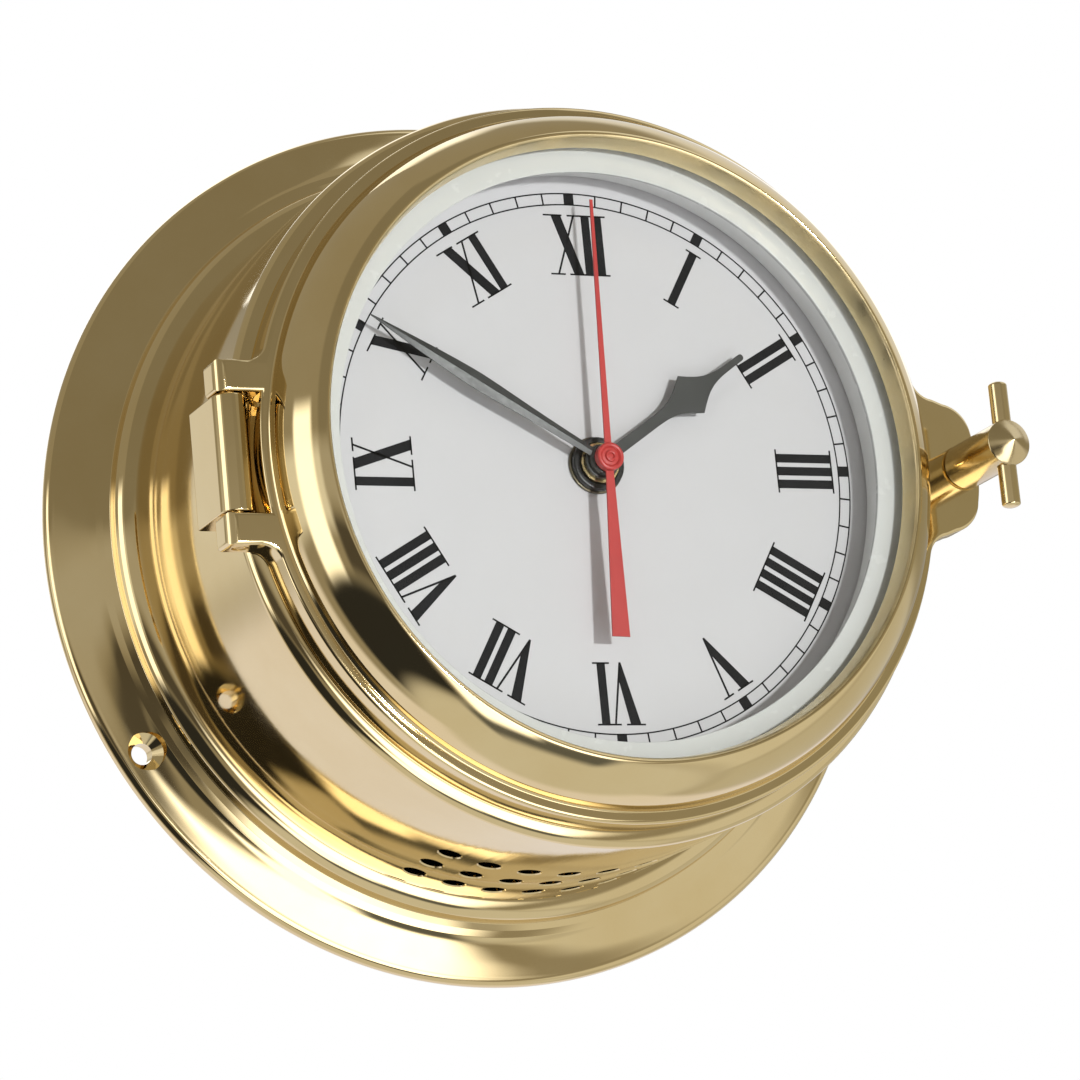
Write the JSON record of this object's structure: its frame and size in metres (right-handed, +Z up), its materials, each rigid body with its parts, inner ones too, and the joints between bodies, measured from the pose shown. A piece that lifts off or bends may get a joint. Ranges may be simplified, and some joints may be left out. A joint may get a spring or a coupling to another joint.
{
  "type": "ships deck clock",
  "caption": "Round flanged brass ship's clock with a hinged glazed bezel closed by a T-headed screw, a Roman dial with three hands and a battery quartz movement inside.",
  "frame": {"origin": "centre of the back, on the plane of the wall that the flange is screwed to", "axes": "+Y into the wall, so the dial faces -Y; +Z up through twelve o'clock; +X towards three o'clock"},
  "size_m": [0.18, 0.091, 0.18],
  "materials": {
    "polished_brass": "polished and lacquered",
    "plain_brass": "plain turned",
    "steel": "plain",
    "white_lacquer": "gloss white",
    "dial_white": "satin white with printed black markings",
    "hand_black": "satin black",
    "hand_red": "satin red",
    "nut_black": "satin black",
    "rubber": "matte",
    "clear_glass": "clear, flat",
    "movement_plastic": "moulded",
    "wheel_plastic": "moulded",
    "copper": "enamelled wire",
    "board": "solder mask",
    "battery_wrap": "printed sleeve without any mark"
  },
  "bodies": {
    "case": {"mounting_flange": "polished_brass", "case_barrel": "polished_brass", "hinge_block": "polished_brass", "clamp_boss": "polished_brass", "back_plate": "plain_brass", "back_screw_1": "steel", "back_screw_2": "steel", "back_screw_3": "steel", "hinge_pin": "plain_brass", "dial_plate": "dial_white", "dial_ring": "white_lacquer", "dial_screw_1": "steel", "dial_screw_2": "steel", "dial_screw_3": "steel", "dial_washer": "plain_brass", "dial_nut": "nut_black", "dial_gasket": "rubber", "centre_bush": "plain_brass", "movement_case": "movement_plastic", "movement_cover": "movement_plastic", "circuit_board": "board", "quartz_crystal": "steel", "motor_coil": "copper", "coil_core": "steel", "stator": "steel", "train_plate": "movement_plastic", "battery": "battery_wrap", "battery_contact_plus": "plain_brass", "battery_contact_minus": "plain_brass"},
    "bezel": {"bezel_ring": "polished_brass", "glass": "clear_glass", "glass_retaining_ring": "white_lacquer", "bezel_seal": "rubber"},
    "clamp_carrier": {"clamp_clip": "steel"},
    "clamp": {"clamp_screw": "polished_brass", "clamp_tommy_bar": "polished_brass"},
    "second": {"second_hand": "hand_red", "second_wheel": "steel"},
    "minute": {"minute_hand": "hand_black", "centre_wheel": "plain_brass"},
    "hour": {"hour_hand": "hand_black", "hour_wheel": "wheel_plastic"},
    "third": {"third_wheel": "wheel_plastic"},
    "motion": {"motion_wheel": "wheel_plastic"},
    "intermediate": {"intermediate_wheel": "wheel_plastic"},
    "rotor": {"rotor": "steel"},
    "knob": {"setting_knob": "wheel_plastic"}
  },
  "joints": [
    {"name": "bezel_hinge", "type": "hinge", "parent": "case", "child": "bezel", "pos_m": [-0.075, -0.0672, 0], "axis": [0, 0, -1], "range_deg": [0, 150]},
    {"name": "clamp_lift", "type": "slide", "parent": "bezel", "child": "clamp_carrier", "axis": [0, -1, 0], "range_m": [0, 0.0061]},
    {"name": "clamp_turn", "type": "hinge", "parent": "clamp_carrier", "child": "clamp", "pos_m": [0.0782, -0.07, 0], "axis": [0, -1, 0], "range_deg": [0, 2880]},
    {"name": "second_spin", "type": "hinge", "parent": "case", "child": "second", "pos_m": [0, -0.06, 0], "axis": [0, 1, 0], "continuous": true},
    {"name": "minute_spin", "type": "hinge", "parent": "case", "child": "minute", "pos_m": [0, -0.06, 0], "axis": [0, 1, 0], "continuous": true},
    {"name": "hour_spin", "type": "hinge", "parent": "case", "child": "hour", "pos_m": [0, -0.06, 0], "axis": [0, 1, 0], "continuous": true},
    {"name": "third_spin", "type": "hinge", "parent": "case", "child": "third", "pos_m": [-0.0075, -0.057, 0], "axis": [0, 1, 0], "continuous": true},
    {"name": "motion_spin", "type": "hinge", "parent": "case", "child": "motion", "pos_m": [0.00705, -0.06, -0.00257], "axis": [0, 1, 0], "continuous": true},
    {"name": "intermediate_spin", "type": "hinge", "parent": "case", "child": "intermediate", "pos_m": [0.00361, -0.054, 0.00516], "axis": [0, 1, 0], "continuous": true},
    {"name": "rotor_spin", "type": "hinge", "parent": "case", "child": "rotor", "pos_m": [0.00361, -0.051, 0.00996], "axis": [0, 1, 0], "continuous": true},
    {"name": "knob_spin", "type": "hinge", "parent": "case", "child": "knob", "pos_m": [0.01421, -0.05, 0.00004], "axis": [0, 1, 0], "continuous": true}
  ],
  "couplings": [
    {"joint": "clamp_lift", "follows": "clamp_turn", "m_per_rad": 0.00011937},
    {"joint": "minute_spin", "follows": "second_spin", "ratio": 0.016667},
    {"joint": "hour_spin", "follows": "second_spin", "ratio": 0.0013889},
    {"joint": "third_spin", "follows": "second_spin", "ratio": -0.1291},
    {"joint": "motion_spin", "follows": "second_spin", "ratio": -0.0055556},
    {"joint": "intermediate_spin", "follows": "second_spin", "ratio": -6},
    {"joint": "rotor_spin", "follows": "second_spin", "ratio": 30},
    {"joint": "knob_spin", "follows": "second_spin", "ratio": 0.015625}
  ]
}
